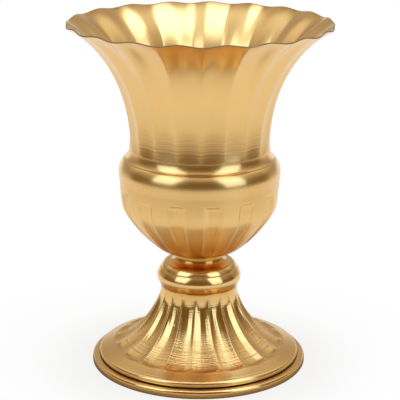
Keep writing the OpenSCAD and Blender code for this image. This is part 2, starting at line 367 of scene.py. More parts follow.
def shell(name: str, section: Section, row: FluteRow, uneven: float) -> bpy.types.Object:
    """Sweeps a closed section round the axis and presses the flutes into it.

    Args:
        name: Name of the piece.
        section: Closed section of the sheet.
        row: Flutes round the shell.
        uneven: Height in millimetres of the slow waves in the fluted sheet.

    Returns:
        The piece, riding on the vase's one body.
    """
    azimuth, share = row.azimuths()
    cut = section.depth[:, None] * row.cut(share, section)
    around, along = azimuth[None, :], section.points[:, 1, None]
    waves = sum(np.sin(count * around + turn * along + start) for count, turn, start in WAVES)
    worked = np.clip(section.depth, 0, 1)[:, None]
    cut = cut + uneven * worked * (1 + waves / len(WAVES)) / 2
    sides = zip(section.points.T, section.press.T)
    radius, height = (place[:, None] - cut * press[:, None] for place, press in sides)
    points = np.stack([radius * np.cos(azimuth), radius * np.sin(azimuth), height], axis=2)
    rings, steps = points.shape[:2]
    ring, step = np.meshgrid(np.arange(rings), np.arange(steps), indexing="ij")
    near, far = ring * steps, (ring + 1) % rings * steps
    next_step = (step + 1) % steps
    corners = (near + step, near + next_step, far + next_step, far + step)
    faces = np.stack(corners, axis=2).reshape(-1, 4)
    mesh = bpy.data.meshes.new(name)
    mesh.from_pydata((points.reshape(-1, 3) * MM).tolist(), [], faces.tolist())
    # Faces on cut edges get the dark edge finish, and faces in seams and crevices get painted
    # shade.
    cut_edge_and_shade = np.maximum(section.cut_edge_and_shade, np.roll(section.cut_edge_and_shade, -1)).astype(int)
    mesh.polygons.foreach_set("material_index", np.repeat(cut_edge_and_shade, steps).tolist())
    mesh.polygons.foreach_set("use_smooth", [True] * len(mesh.polygons))
    mesh.update()
    piece = placed(name, mesh)
    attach(piece, BODY)
    return piece


# Finishes


def scaled(colour: Tint, share: float) -> Tint:
    """Returns a colour made lighter or darker."""
    return tuple(share * part for part in colour)


class Nodes:
    """Shorthand for building the node tree of a material or of the room light."""

    def __init__(self, owner: bpy.types.Material | bpy.types.World) -> None:
        """Empties the owner's tree.

        Args:
            owner: Material or world that gets the nodes.
        """
        self.owner = owner
        owner.use_nodes = True
        self.tree = owner.node_tree
        self.tree.nodes.clear()

    def add(self, kind: str, **settings: str) -> bpy.types.Node:
        """Adds a node.

        Args:
            kind: Node type, without its ShaderNode prefix.
            settings: Its settings by name.

        Returns:
            The node.
        """
        node = self.tree.nodes.new("ShaderNode" + kind)
        for key, value in settings.items():
            setattr(node, key, value)
        return node

    def link(self, source: Socket, target: Socket) -> None:
        """Joins an output socket to an input socket."""
        self.tree.links.new(source, target)

    def surface(self) -> bpy.types.Node:
        """Adds a Principled surface and joins it to the material's output.

        Returns:
            Its node.
        """
        surface = self.add("BsdfPrincipled")
        self.link(surface.outputs[0], self.add("OutputMaterial").inputs[0])
        return surface

    def maths(self, operation: str, *values: Socket | float) -> Socket:
        """Adds a sum on one to three values.

        Args:
            operation: Name of the sum.
            values: Sockets or numbers, in their order.

        Returns:
            Its output socket.
        """
        node = self.add("Math", operation=operation)
        for index, value in enumerate(values):
            if isinstance(value, Socket):
                self.link(value, node.inputs[index])
            else:
                node.inputs[index].default_value = value
        return node.outputs[0]

    def length(self, vector: Socket) -> Socket:
        """Measures a vector.

        Args:
            vector: Socket to read.

        Returns:
            Its length.
        """
        node = self.add("VectorMath", operation="LENGTH")
        self.link(vector, node.inputs[0])
        return node.outputs["Value"]

    def split(self, vector: Socket) -> list[Socket]:
        """Takes a vector apart.

        Args:
            vector: Socket to read.

        Returns:
            Its three parts.
        """
        node = self.add("SeparateXYZ")
        self.link(vector, node.inputs[0])
        return list(node.outputs)

    def ranged(
        self, value: Socket, span: Span, to: Span = (0.0, 1.0), smooth: bool = False
    ) -> Socket:
        """Carries a value over from one span to another.

        Args:
            value: Socket to read.
            span: Values at which the change starts and ends.
            to: Results at its start and end.
            smooth: Whether it eases in and out.

        Returns:
            Its output socket.
        """
        node = self.add("MapRange", interpolation_type="SMOOTHSTEP" if smooth else "LINEAR")
        for name, number in zip(("From Min", "From Max", "To Min", "To Max"), (*span, *to)):
            node.inputs[name].default_value = number
        self.link(value, node.inputs["Value"])
        return node.outputs[0]

    def mixed(
        self, share: Socket, first: Socket | Tint, second: Socket | Tint, way: str = "MIX"
    ) -> Socket:
        """Mixes two colours.

        Args:
            share: Share of the second one.
            first: Socket or linear colour.
            second: Socket or linear colour.
            way: Name of the way in which they mix.

        Returns:
            Its output socket.
        """
        node = self.add("Mix", data_type="RGBA", blend_type=way)
        for name, colour in (("A", first), ("B", second)):
            if isinstance(colour, Socket):
                self.link(colour, node.inputs[name])
            else:
                node.inputs[name].default_value = (*colour, 1)
        self.link(share, node.inputs["Factor"])
        return node.outputs["Result"]

    def noise(self, scale: float, detail: float = 2.0) -> Socket:
        """Adds a noise all over the object.

        Args:
            scale: Its scale, per metre.
            detail: Number of finer noises in it.

        Returns:
            Its output socket.
        """
        node = self.add("TexNoise")
        node.inputs["Scale"].default_value = scale
        node.inputs["Detail"].default_value = detail
        self.link(self.place(), node.inputs["Vector"])
        return node.outputs[0]

    def whitened(self, paint: Socket, white: str, seen: Socket | float, mirrored: Socket) -> Socket:
        """Lays white over a floor or a sky, with Light Path telling the rays apart.

        Args:
            paint: Shader under the white.
            white: Node type of the white, without its ShaderNode prefix.
            seen: Share of white that the camera sees.
            mirrored: Share of white that glossy and transmission rays see.

        Returns:
            A socket with the shader.
        """
        rays = self.add("LightPath").outputs
        camera = self.maths("MULTIPLY", rays["Is Camera Ray"], seen)
        metal = self.maths("MAXIMUM", rays["Is Glossy Ray"], rays["Is Transmission Ray"])
        share = self.maths("MAXIMUM", camera, self.maths("MULTIPLY", metal, mirrored))
        cover = self.add(white)
        cover.inputs["Color"].default_value = (1, 1, 1, 1)
        mix = self.add("MixShader")
        for source, target in zip((share, paint, cover.outputs[0]), mix.inputs):
            self.link(source, target)
        return mix.outputs[0]

    def place(self) -> Socket:
        """Returns the place on the object, in metres."""
        return self.add("TexCoord").outputs["Object"]

    def turning(self, lean: float) -> Socket:
        """Distance along the wall, which is the same all round the axis.

        Args:
            lean: 1 where the wall leans out as it rises, -1 where it leans in.

        Returns:
            Output socket, in metres.
        """
        x, y, height = self.split(self.place())
        squares = [self.maths("MULTIPLY", part, part) for part in (x, y)]
        radius = self.maths("SQRT", self.maths("ADD", *squares))
        return self.maths("ADD", height, self.maths("MULTIPLY", radius, lean))


@dataclass(frozen=True)
class SatinGold:
    """Satin gold finish on spun sheet iron.

    Attributes:
        name: Name of the material.
        colour: Colour of the metal, linear.
        deeper: Colour of its slightly darker clouds.
        lacquer: Share of each channel of the colour that the painted shade in the recess leaves.
        clouds: Scale of the clouds, per metre.
        roughness: Mean roughness.
        spread: How far the roughness goes up and down with the clouds.
        smear: How far the turning lines smear the light across themselves, from 0 to 1.
        smear_turn: Share of a full turn from the way round the axis to the smear.
        pitch: Pitch of the turning lines in millimetres.
        line_depth: Depth of the turning lines in millimetres.
        faint: Share of their depth that the lines have outside the lined zone.
        lean: Which way the wall leans, for the turning lines.
        lined: Lowest and highest height in millimetres at which the lines are deep.
        lined_fade: How far in millimetres the deep lines take to grow faint.
        bright: Lowest and highest height in millimetres of the burnished zone.
        gloss: Share of the roughness that is left in the burnished zone.
        recess: Lowest and highest height in millimetres of the recess, where shade is painted into
            the colour.
        recess_fade: How far in millimetres the painted shade takes to fade out.
        pit: Place of a small pit in the sheet in millimetres, or none.
        pit_radii: Radius in millimetres of the pit's rim and of its floor.
    """

    name: str
    colour: Tint = (0.9, 0.575, 0.225)
    deeper: Tint = (0.86, 0.54, 0.2)
    lacquer: Tint = (0.84, 0.64, 0.34)
    clouds: float = 38.0
    roughness: float = 0.24
    spread: float = 0.03
    smear: float = 0.8
    smear_turn: float = 0.25
    pitch: float = 1.3
    line_depth: float = 0.06
    faint: float = 0.2
    lean: float = 1.0
    lined: Span = NOWHERE
    lined_fade: float = 7.0
    bright: Span = NOWHERE
    gloss: float = 0.7
    recess: Span = NOWHERE
    recess_fade: float = 2.0
    pit: Point | None = None
    pit_radii: Span = (1.2, 0.2)

    @staticmethod
    def zone(nodes: Nodes, span: Span, fade: float = 2.0) -> Socket:
        """Marks a span of heights.

        Args:
            nodes: Tree of the material.
            span: Lowest and highest height in millimetres.
            fade: Half width in millimetres of the soft step at both of its ends.

        Returns:
            A socket that is 1 between the two heights and 0 beyond them.
        """
        height = nodes.split(nodes.place())[2]
        middle, half = sum(span) / 2 * MM, (span[1] - span[0]) / 2 * MM
        away = nodes.maths("ABSOLUTE", nodes.maths("SUBTRACT", height, middle))
        return nodes.ranged(away, (half + fade * MM, half - fade * MM), smooth=True)

    def tone(self, nodes: Nodes, cloud: Socket) -> Socket:
        """Colours the metal, with its clouds and the painted shade of the recess.

        Args:
            nodes: Tree of the material.
            cloud: Noise of the clouds.

        Returns:
            A socket with the colour.
        """
        metal = nodes.mixed(cloud, self.colour, self.deeper)
        # Painted shade: the colour is darkened and warmed between the recess heights.
        shaded = self.zone(nodes, self.recess, self.recess_fade)
        return nodes.mixed(shaded, metal, self.lacquer, "MULTIPLY")

    def dullness(self, nodes: Nodes, cloud: Socket) -> Socket:
        """Sets the roughness, which is lower in the burnished zone.

        Args:
            nodes: Tree of the material.
            cloud: Noise of the clouds.

        Returns:
            A socket with the roughness.
        """
        ends = (self.roughness - self.spread, self.roughness + self.spread)
        rough = nodes.ranged(cloud, (0.0, 1.0), ends)
        duller = nodes.maths("SUBTRACT", 1.0, self.zone(nodes, self.bright))
        share = nodes.maths("MULTIPLY_ADD", duller, 1 - self.gloss, self.gloss)
        return nodes.maths("MULTIPLY", rough, share)

    def hollow(self, nodes: Nodes) -> Socket:
        """Marks the pit.

        Args:
            nodes: Tree of the material.

        Returns:
            A socket that is 1 in the pit and 0 outside it.
        """
        near = nodes.add("VectorMath", operation="DISTANCE")
        near.inputs[1].default_value = [part * MM for part in self.pit]
        nodes.link(nodes.place(), near.inputs[0])
        rim, floor = (radius * MM for radius in self.pit_radii)
        return nodes.ranged(near.outputs["Value"], (rim, floor), smooth=True)

    def relief(self, nodes: Nodes) -> Socket:
        """Presses the turning lines and the pit into the surface.

        Args:
            nodes: Tree of the material.

        Returns:
            A socket with the normal.
        """
        lines = nodes.add("TexNoise", noise_dimensions="1D")
        lines.inputs["Scale"].default_value = 1.0
        lines.inputs["Detail"].default_value = 2.0
        turns = nodes.maths("MULTIPLY", nodes.turning(self.lean), 1 / (self.pitch * MM))
        nodes.link(turns, lines.inputs["W"])
        lined = self.zone(nodes, self.lined, self.lined_fade)
        deep = nodes.maths("MULTIPLY_ADD", lined, 1 - self.faint, self.faint)
        height = nodes.maths("MULTIPLY", lines.outputs[0], deep)
        if self.pit:
            height = nodes.maths("SUBTRACT", height, self.hollow(nodes))
        ridged = nodes.add("Bump")
        ridged.inputs["Strength"].default_value = 1.0
        ridged.inputs["Distance"].default_value = self.line_depth * MM
        nodes.link(height, ridged.inputs["Height"])
        return ridged.outputs[0]

    def build(self) -> bpy.types.Material:
        """Builds the finish.

        Returns:
            Its material.
        """
        nodes = Nodes(bpy.data.materials.new(self.name))
        metal = nodes.surface()
        metal.inputs["Metallic"].default_value = 1.0
        metal.inputs["Anisotropic"].default_value = self.smear
        metal.inputs["Anisotropic Rotation"].default_value = self.smear_turn
        round_axis = nodes.add("Tangent", direction_type="RADIAL", axis="Z")
        nodes.link(round_axis.outputs[0], metal.inputs["Tangent"])
        cloud = nodes.noise(self.clouds, detail=3.0)
        nodes.link(self.tone(nodes, cloud), metal.inputs["Base Color"])
        nodes.link(self.dullness(nodes, cloud), metal.inputs["Roughness"])
        nodes.link(self.relief(nodes), metal.inputs["Normal"])
        return nodes.owner


@dataclass(frozen=True)
class CutEdgeAndShade:
    """Dark cut edges, where the finish is thin, and the painted shade of dark seams and crevices.

    Attributes:
        name: Name of the material.
        colour: Its darkest colour, linear.
        worn: How much lighter it is where it is worn.
        wear: Scale of the wear, per metre.
        metallic: Share of bare metal in it.
        roughness: Its roughness.
    """

    # By default it is painted shade, for the crevices of the foot and the ring.
    name: str = "painted_seam_shade"
    colour: Tint = (0.06, 0.026, 0.01)
    worn: float = 1.7
    wear: float = 120.0
    metallic: float = 0.4
    roughness: float = 0.5

    def build(self) -> bpy.types.Material:
        """Builds the finish.

        Returns:
            Its material.
        """
        nodes = Nodes(bpy.data.materials.new(self.name))
        metal = nodes.surface()
        metal.inputs["Metallic"].default_value = self.metallic
        metal.inputs["Roughness"].default_value = self.roughness
        worn = scaled(self.colour, self.worn)
        tone = nodes.mixed(nodes.noise(self.wear), self.colour, worn)
        nodes.link(tone, metal.inputs["Base Color"])
        return nodes.owner


@dataclass(frozen=True)
class Plated:
    """Zinc plate on the bolt, nut and washers.

    Attributes:
        name: Name of the material.
        colour: Colour of the plate, linear.
        shade: Share of the colour that its darker crystals keep.
        crystals: Scale of the crystals, per metre.
        roughness: Roughness of the lightest and of the darkest crystals.
    """

    name: str = "zinc_plate"
    colour: Tint = (0.62, 0.63, 0.65)
    shade: float = 0.86
    crystals: float = 700.0
    roughness: Span = (0.3, 0.42)

    def build(self) -> bpy.types.Material:
        """Builds the finish.

        Returns:
            Its material.
        """
        nodes = Nodes(bpy.data.materials.new(self.name))
        metal = nodes.surface()
        metal.inputs["Metallic"].default_value = 1.0
        spangle = nodes.add("TexVoronoi")
        spangle.inputs["Scale"].default_value = self.crystals
        nodes.link(nodes.place(), spangle.inputs["Vector"])
        share = spangle.outputs["Distance"]
        darker = scaled(self.colour, self.shade)
        nodes.link(nodes.mixed(share, self.colour, darker), metal.inputs["Base Color"])
        nodes.link(nodes.ranged(share, (0.0, 1.0), self.roughness), metal.inputs["Roughness"])
        return nodes.owner


@dataclass(frozen=True)
class SealRubber:
    """Matt black rubber of the seal.

    Attributes:
        name: Name of the material.
        colour: Colour of the rubber, linear.
        dusty: How much lighter it is where dust lies on it.
        grain: Scale of the dust and grain, per metre.
        grain_depth: Depth of the grain in millimetres.
        roughness: Its roughness.
    """

    name: str = "seal_rubber_matt"
    colour: Tint = (0.035, 0.034, 0.033)
    dusty: float = 1.8
    grain: float = 300.0
    grain_depth: float = 0.02
    roughness: float = 0.75

    def build(self) -> bpy.types.Material:
        """Builds the finish.

        Returns:
            Its material.
        """
        nodes = Nodes(bpy.data.materials.new(self.name))
        rubber = nodes.surface()
        rubber.inputs["Roughness"].default_value = self.roughness
        dust = nodes.noise(self.grain)
        dusty = scaled(self.colour, self.dusty)
        nodes.link(nodes.mixed(dust, self.colour, dusty), rubber.inputs["Base Color"])
        bump = nodes.add("Bump")
        bump.inputs["Distance"].default_value = self.grain_depth * MM
        nodes.link(dust, bump.inputs["Height"])
        nodes.link(bump.outputs[0], rubber.inputs["Normal"])
        return nodes.owner


# Pieces of the vase


@dataclass
class SheetPiece:
    """One spun or pressed piece of sheet iron that stands for its CAD node.

    Attributes:
        finish: Its finish.
        node: The CAD node.
        uneven: Height of the slow waves in its flutes.
        edge: Finish of its dark cut edges and of the painted shade in its seams and crevices.
        row: Its flutes.
    """

    finish: SatinGold
    node: str = ""
    uneven: float = 0.0
    edge: CutEdgeAndShade = CutEdgeAndShade()
    row: FluteRow = PLAIN

    def dress(self, section: Section) -> bpy.types.Object:
        """Builds the piece and gives it its finish.

        Args:
            section: Closed section of the sheet.

        Returns:
            The finished piece.
        """
        piece = shell(self.node + "_fine", section, self.row, self.uneven)
        piece.data.materials.append(self.finish.build())
        if section.cut_edge_and_shade.any():
            piece.data.materials.append(self.edge.build())
        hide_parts(self.node)
        return piece


@dataclass
class FlutedPiece(SheetPiece):
    """A sheet piece with flutes pressed into its wall.

    Attributes:
        depth: Flute depth at its deepest.
        fade_at: Heights, or places up the wall from 0 to 1, at which the depth is given.
        fade: Share of the depth there.
    """

    depth: float = 0.0
    fade_at: Stops = ()
    fade: Stops = ()

    def depths(self, at: np.ndarray) -> np.ndarray:
        """Returns the flute depth at each of the given heights or places."""
        return self.depth * np.interp(at, self.fade_at, self.fade)


@dataclass
class Flare(FlutedPiece):
    """The trumpet from the seam up to the wavy rim.

    Attributes:
        collar: Height of the collar's edge, inside the bowl's mouth.
        seam: Height of the seam on the bowl's shoulder.
        seam_radius: Outer radius at the seam.
        bead: Points of the bead over the seam, from the seam's outer corner.
        bead_height: Height of the bead.
        throat: Outer radius at the narrowest point.
        throat_height: Height of the narrowest point.
        sweep: Radius of the sweep from the seam to the throat.
        sweep_end: Last angle of the sweep in degrees.
        rim: Height of the rim at its ridges.
        rim_radius: Outer radius there.
        low_pull: Where the wall leaves towards, as shares of its span and rise.
        high_pull: Where it arrives from, in the same shares.
        soft_at: Places up the wall, from 0 to 1, at which the ridges' softness is given.
        soft: Softness there.
    """

    node: str = "fluted_flare"
    edge: CutEdgeAndShade = CutEdgeAndShade("rim_cut_edge", (0.26, 0.15, 0.06))
    uneven: float = 0.05
    collar: float = 150.0
    seam: float = 154.0
    seam_radius: float = 53.7
    bead: tuple[Point, ...] = ((-0.25, 0.0), (0.0, 0.12), (-0.12, 0.32))
    bead_height: float = 0.4
    throat: float = 50.4
    throat_height: float = 161.165
    sweep: float = 9.4286
    sweep_end: float = 181.0
    rim: float = 249.0
    rim_radius: float = 94.33
    low_pull: Point = (-0.03, 0.3)
    high_pull: Point = (0.2, 0.79)
    depth: float = 1.9
    fade_at: Stops = (0.0, 0.08, 0.24, 0.45, 0.6, 0.9, 1.0)
    fade: Stops = (0.0, 0.35, 0.7, 0.95, 1.0, 0.95, 0.9)
    soft_at: Stops = (0.3, 0.75, 1.0)
    soft: Stops = (0.0, 0.5, 1.0)
    row: FluteRow = FluteRow(Flute.SCALLOP, 19, -89.0, samples=20, lip=0.02, drift=2.75)

    def wall(self) -> Section:
        """Draws the wall from the throat up to the rim, with its flutes.

        Returns:
            Its outer face.
        """
        start = np.array([self.throat, self.throat_height])
        end = np.array([self.rim_radius, self.rim])
        reach = end - start
        pulls = (start + pull * reach for pull in (self.low_pull, self.high_pull))
        points = shortened(curve(start, *pulls, end, steps=84), start=0.0)
        up = np.linspace(0, 1, len(points))
        return Section.face(points, self.depths(up), soft=np.interp(up, self.soft_at, self.soft))

    def build(self) -> bpy.types.Object:
        """Builds the flare.

        Returns:
            The finished piece.
        """
        corner = np.array([self.seam_radius, self.seam])
        collar = np.array([[self.throat, self.collar], [self.throat, self.seam]])
        rise = self.throat_height - self.seam - self.bead_height
        tilt = math.degrees(math.asin(rise / self.sweep))
        middle = (self.throat + self.sweep, self.throat_height)
        sweep = arc(middle, self.sweep, 180 + tilt, self.sweep_end, steps=14)
        start = Section.face(np.concatenate([collar, corner + self.bead, sweep]))
        wall = self.wall()
        bottom = Section.face(collar[::-1] - [SHEET, 0])
        whole = Section.joined(start, wall, wall.bead(-1, cut_edge_and_shade=1.0), wall.inner(), bottom)
        return self.dress(whole)


@dataclass
class Bowl(FlutedPiece):
    """The cup with round-topped flutes, from the knob up to the flare.

    Attributes:
        seat: Height of its flat floor.
        floor: Outer radius of the floor.
        floor_ring: Width of the outer ring of the floor, which keeps its faces small.
        floor_pull: Point that the lower wall leaves towards.
        belly_pull: Point that it arrives at the belly from.
        belly: Outer radius and height at which the lower wall ends.
        wall_pulls: The same two points for the upper wall.
        wall_radius: Outer radius at the top of the upper wall.
        wall_top: Height there.
        waist_pulls: How far the waist's two points lie from its ends.
        shoulder: Outer radius of the shoulder.
        shoulder_height: Height at which it is widest.
        shoulder_round: Radius of the shoulder's round.
        round_gap: Degrees by which the round ends before the mouth's corner.
        seam: Height of the mouth, where the flare sits.
        seam_radius: Outer radius there.
        lip: Points of the mouth's soft outer corner, from the sharp one.
        mouth: Inner radius of the mouth.
        arch_top: Height at which the flutes' round tops end.
        arch_reach: Height of the round tops.
    """

    node: str = "fluted_bowl"
    uneven: float = 0.03
    seat: float = 86.0
    floor: float = 25.0
    floor_ring: float = 5.0
    floor_pull: Point = (31.67, 86.0)
    belly_pull: Point = (49.36, 106.65)
    belly: Point = (54.0, 115.5)
    wall_pulls: tuple[Point, Point] = ((56.4, 119.8), (56.7, 127.1))
    wall_radius: float = 57.2
    wall_top: float = 137.0
    waist_pulls: tuple[Point, Point] = ((0.15, 2.6), (0.0, -3.0))
    shoulder: float = 57.9
    shoulder_height: float = 144.88
    shoulder_round: float = 12.0
    round_gap: float = 2.5
    seam: float = 154.0
    seam_radius: float = 53.7
    lip: tuple[Point, ...] = ((0.12, -0.28), (-0.15, 0.0))
    mouth: float = 50.5
    arch_top: float = 132.6
    arch_reach: float = 5.6
    depth: float = 1.7
    fade_at: Stops = (89.0, 96.0, 104.0, 133.0, 133.1)
    fade: Stops = (0.0, 0.6, 1.0, 1.0, 0.0)
    row: FluteRow = FluteRow(Flute.GROOVE, 14, -80.3, 0.245, samples=40, lip=0.08, flat=4.0)

    def outline(self) -> np.ndarray:
        """Draws the outside from the bolt hole to the mouth.

        Returns:
            Its radii and heights.
        """
        floor = (self.floor, self.seat)
        wall_end = np.array([self.wall_radius, self.wall_top])
        widest = np.array([self.shoulder, self.shoulder_height])
        leave, arrive = self.waist_pulls
        base = np.array([[BOLT_HOLE, self.seat], [self.floor - self.floor_ring, self.seat]])
        lower = curve(floor, self.floor_pull, self.belly_pull, self.belly, steps=40)
        upper = curve(self.belly, *self.wall_pulls, wall_end, steps=44)
        waist = curve(wall_end, wall_end + leave, widest + arrive, widest, steps=12)
        middle = self.shoulder - self.shoulder_round
        tilt = math.degrees(math.acos((self.seam_radius - middle) / self.shoulder_round))
        end = tilt - self.round_gap
        round_off = arc((middle, self.shoulder_height), self.shoulder_round, 0, end, steps=14)
        lip = np.array([self.seam_radius, self.seam]) + self.lip
        mouth = np.array([[self.mouth, self.seam]])
        return np.concatenate([base, lower, upper[1:], waist[1:], round_off[1:], lip, mouth])

    def build(self) -> bpy.types.Object:
        """Builds the bowl.

        Returns:
            The finished piece.
        """
        points = shortened(self.outline())
        height = points[:, 1]
        start = self.arch_top - self.arch_reach
        arch = np.clip((height - start) / self.arch_reach, 0, PAST_ARCH) ** 2
        return self.dress(Section.face(points, self.depths(height), arch).sheet())


@dataclass
class UpperKnob(SheetPiece):
    """Neck and upper half of the hollow knob.

    Attributes:
        seam: Height of the engraved line between the halves of the knob.
        radius: Outer radius there.
        bun_pulls: Points that the bun's curve leaves towards and arrives from.
        bun_top: Radius at which the curve ends.
        bun_height: Height of the bun's flat top.
        neck: Outer radius of the neck.
        fillet: Radius of the fillet under it.
        seat: Height of the flat top, on which the bowl sits.
        bevel: Size of its soft outer corner.
    """

    node: str = "upper_knob_shell"
    seam: float = 72.0
    radius: float = 28.0
    bun_pulls: tuple[Point, Point] = ((27.1, 74.1), (25.5, 76.4))
    bun_top: float = 23.5
    bun_height: float = 76.4
    neck: float = 17.0
    fillet: float = 5.0
    seat: float = 86.0
    bevel: float = 0.2

    def build(self) -> bpy.types.Object:
        """Builds the upper knob shell.

        Returns:
            The finished piece.
        """
        start, end = (self.radius, self.seam), (self.bun_top, self.bun_height)
        bun = curve(start, *self.bun_pulls, end, steps=24)
        middle = (self.neck + self.fillet, self.bun_height + self.fillet)
        fillet = arc(middle, self.fillet, 270, 180, steps=16)
        top = np.array(
            [
                [self.neck, self.seat - self.bevel],
                [self.neck - self.bevel, self.seat],
                [BOLT_HOLE, self.seat],
            ]
        )
        outline = np.concatenate([bun, fillet, top])
        face = Section.face(shortened(outline))
        return self.dress(face.sheet())


@dataclass
class LowerKnob(SheetPiece):
    """Lower half of the hollow knob, on the crown of the foot.

    Attributes:
        seat: Height of its flat base.
        seam: Height of the engraved line between the halves of the knob.
        radius: Outer radius at the base and at the line.
        pull: Radius that the belly between them is drawn out towards.
        pull_at: Places up the belly, from 0 to 1, at which it is drawn out.
        bevel: Width and height of the base's soft outer corner.
    """

    node: str = "lower_knob_shell"
    seat: float = 59.0
    seam: float = 72.0
    radius: float = 28.0
    pull: float = 31.33
    pull_at: Span = (0.46, 0.64)
    bevel: Span = (0.3, 0.1)

    def build(self) -> bpy.types.Object:
        """Builds the lower knob shell.

        Returns:
            The finished piece.
        """
        rise = self.seam - self.seat
        pulls = ((self.pull, self.seat + at * rise) for at in self.pull_at)
        start, end = (self.radius, self.seat + self.bevel[1]), (self.radius, self.seam)
        belly = curve(start, *pulls, end, steps=32)
        base = np.array([[BOLT_HOLE, self.seat], [self.radius - self.bevel[0], self.seat]])
        outline = np.concatenate([base, belly])
        face = Section.face(shortened(outline))
        return self.dress(face.sheet())


@dataclass
class Foot(FlutedPiece):
    """The fluted foot with its plain brim and rolled edge.

    Attributes:
        seat: Height of the tread under its edge, on the ring.
        radius: Outer radius of the edge.
        curl: Radius of the edge's under side.
        tread: Width of the tread.
        roll: Width of the edge's upper side.
        roll_pulls: How far its curve is drawn down from the brim's height and out along it.
        brim: Height of the brim's outer end.
        flank: Outer radius and height at which the brim meets the fluted flank.
        low_pull: Where the flank leaves towards, as shares of its span and rise.
        high_pull: Where it arrives from, in the same shares.
        band: Height of the plain band under the crown.
        crown_radius: Outer radius of the band.
        crown: Height of the flat crown.
        crown_step: Height in the band at which its straight side starts.
        corner: Reach of the crown's soft corner.
        arch_reach: Length of the flutes' rounded ends.
    """

    node: str = "fluted_foot_skirt"
    uneven: float = 0.26
    seat: float = 6.2
    radius: float = 73.0
    curl: float = 1.5
    tread: float = 1.5
    roll: float = 2.0
    roll_pulls: Span = (1.2, 1.5)
    brim: float = 10.8
    flank: Point = (62.3, 14.1)
    low_pull: Point = (0.62, 0.12)
    high_pull: Point = (0.97, 0.81)
    band: float = 55.4
    crown_radius: float = 27.8
    crown: float = 59.0
    crown_step: float = 0.4
    corner: float = 0.5
    arch_reach: float = 4.0
    depth: float = 2.0
    fade_at: Stops = (14.1, 17.0, 21.0, 28.0, 42.0, 49.0, 53.0, 55.4)
    fade: Stops = (0.8, 0.8, 0.85, 1.0, 0.95, 0.7, 0.25, 0.0)
    row: FluteRow = FluteRow(Flute.SCALLOP, 19, -95.0, samples=24, lip=0.06)

    def rim(self) -> np.ndarray:
        """Draws the rolled edge and the brim.

        Returns:
            Their radii and heights.
        """
        middle = self.seat + self.curl
        under = arc((self.radius - self.curl, middle), self.curl, -90, 0, steps=8)
        tread = np.array([[self.radius - self.curl - self.tread, self.seat]])
        corner = np.array([self.radius - self.roll, self.brim])
        slope = (corner - self.flank) / np.linalg.norm(corner - self.flank)
        down, out = self.roll_pulls
        start, leave = (self.radius, middle), (self.radius, self.brim - down)
        over = curve(start, leave, corner + out * slope, corner, steps=18)
        brim = np.linspace(corner, self.flank, 8)[1:-1]
        return np.concatenate([tread, under, over[1:], brim])

    def side(self) -> np.ndarray:
        """Draws the flank, the band and the crown.

        Returns:
            Their radii and heights.
        """
        start, end = np.array(self.flank), np.array([self.crown_radius, self.band])
        pulls = (start + pull * (end - start) for pull in (self.low_pull, self.high_pull))
        flank = curve(start, *pulls, end, steps=72)
        crown = np.array(
            [
                [self.crown_radius, self.band + self.crown_step],
                [self.crown_radius, self.crown],
                [BOLT_HOLE, self.crown],
            ]
        )
        return np.concatenate([flank, softened(crown, self.corner)])

    def build(self) -> bpy.types.Object:
        """Builds the foot.

        Returns:
            The finished piece.
        """
        points = shortened(np.concatenate([self.rim(), self.side()]))
        radius, height = points[:, 0], points[:, 1]
        fluted = (radius < self.flank[0]) & (height < self.band) & (height > self.flank[1])
        depth = self.depths(height) * fluted
        into = (radius - self.flank[0] + self.arch_reach) / self.arch_reach
        # Painted shade: the tread and the under side of the rolled edge, in the crevice over the
        # ring, get the dark seam finish.
        cut_edge_and_shade = (height < self.seat + self.curl / 2) & (radius > self.flank[0])
        face = Section.face(points, depth, np.clip(into, 0, PAST_ARCH), cut_edge_and_shade=cut_edge_and_shade)
        return self.dress(face.sheet())


@dataclass
class BaseRing(SheetPiece):
    """The ring under the foot, with its edge rolled down and under.

    Attributes:
        height: Height of its flat top.
        bore: Radius of its open middle.
        radius: Outer radius.
        curl: Radius of the edge's under side.
        tread: Width of the tread that stands on the table.
        roll: Width of the edge's upper side.
        roll_pulls: How far its curve is drawn down from the top and in from the edge.
        seam: Radius inside which the foot covers the top.
        seam_width: Width of the crevice's edge there.
    """

    node: str = "rolled_base_ring"
    height: float = 6.2
    bore: float = 62.0
    radius: float = 78.1
    curl: float = 1.9
    tread: float = 2.2
    roll: float = 2.7
    roll_pulls: Span = (1.2, 0.4)
    seam: float = 72.9
    seam_width: float = 0.4

    def build(self) -> bpy.types.Object:
        """Builds the base ring.

        Returns:
            The finished piece.
        """
        under = arc((self.radius - self.curl, self.curl), self.curl, -90, 0, steps=10)
        down, back = self.roll_pulls
        over = curve(
            (self.radius, self.curl),
            (self.radius, self.height - down),
            (self.radius - back, self.height),
            (self.radius - self.roll, self.height),
            steps=22,
        )
        start = np.array([[self.radius - self.curl - self.tread, 0.0]])
        end = np.array([[self.bore, self.height]])
        outline = shortened(np.concatenate([start, under, over[1:], end]))
        crevice = [(self.seam + self.seam_width, self.height), (self.seam, self.height)]
        outline = np.insert(outline, -1, crevice, 0)
        # Painted shade: the top inside the seam, under the foot's edge, gets the dark seam finish.
        face = Section.face(outline, cut_edge_and_shade=outline[:, 0] < self.seam + self.seam_width / 4)
        return self.dress(face.sheet())


